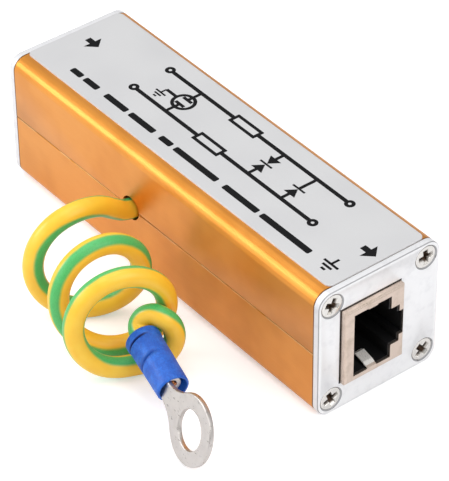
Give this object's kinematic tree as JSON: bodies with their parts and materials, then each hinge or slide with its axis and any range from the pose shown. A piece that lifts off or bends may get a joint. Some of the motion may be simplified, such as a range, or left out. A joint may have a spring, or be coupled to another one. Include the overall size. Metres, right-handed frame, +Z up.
{
  "type": "ethernet surge protector",
  "caption": "In-line surge protector for a network cable: gold extruded aluminium case, shielded socket in each end plate, and a coiled yellow-green earth wire with a ring terminal.",
  "frame": {"origin": "bottom centre of the case", "axes": "+X from the IN socket to the OUT socket, -Y the side that the earth wire leaves, +Z up to the label"},
  "size_m": [0.0864, 0.0521, 0.0253],
  "materials": {
    "case_gold": "gold anodised extrusion",
    "label_silver": "satin printed label",
    "plate_aluminium": "clear anodised plate with a faint grain",
    "screw_steel": "nickel plated",
    "socket_shield": "nickel plated sheet",
    "socket_plastic": "black moulding",
    "contact_gold": "gold plated wire",
    "board_green": "solder mask",
    "chip_resistor": "ceramic with a dark face",
    "diode_black": "moulded epoxy",
    "tube_ceramic": "white ceramic",
    "wire_yellow_green": "yellow insulation with green stripes",
    "core_copper": "bare copper",
    "solder": "solder",
    "sleeve_blue": "blue vinyl sleeve",
    "terminal_tin": "tin plated copper"
  },
  "bodies": {
    "root": {"circuit_board": "board_green", "clamp_diodes": "diode_black", "contact_carrier_in": "socket_plastic", "contact_carrier_out": "socket_plastic", "contacts_in": "contact_gold", "contacts_out": "contact_gold", "earth_core_inner": "core_copper", "earth_core_tail": "core_copper", "earth_solder_joint": "solder", "earth_wire_coil": "wire_yellow_green", "earth_wire_inner": "wire_yellow_green", "earth_wire_lead": "wire_yellow_green", "earth_wire_tail": "wire_yellow_green", "end_plate_in": "plate_aluminium", "end_plate_out": "plate_aluminium", "gas_tube_pair_1": "tube_ceramic", "gas_tube_pair_2": "tube_ceramic", "label": "label_silver", "lower_shell": "case_gold", "ring_terminal": "terminal_tin", "screws_in": "screw_steel", "screws_out": "screw_steel", "series_resistors": "chip_resistor", "socket_housing_in": "socket_plastic", "socket_housing_out": "socket_plastic", "socket_shield_in": "socket_shield", "socket_shield_out": "socket_shield", "steering_diodes": "diode_black", "terminal_sleeve": "sleeve_blue", "upper_shell": "case_gold"}
  },
  "joints": []
}
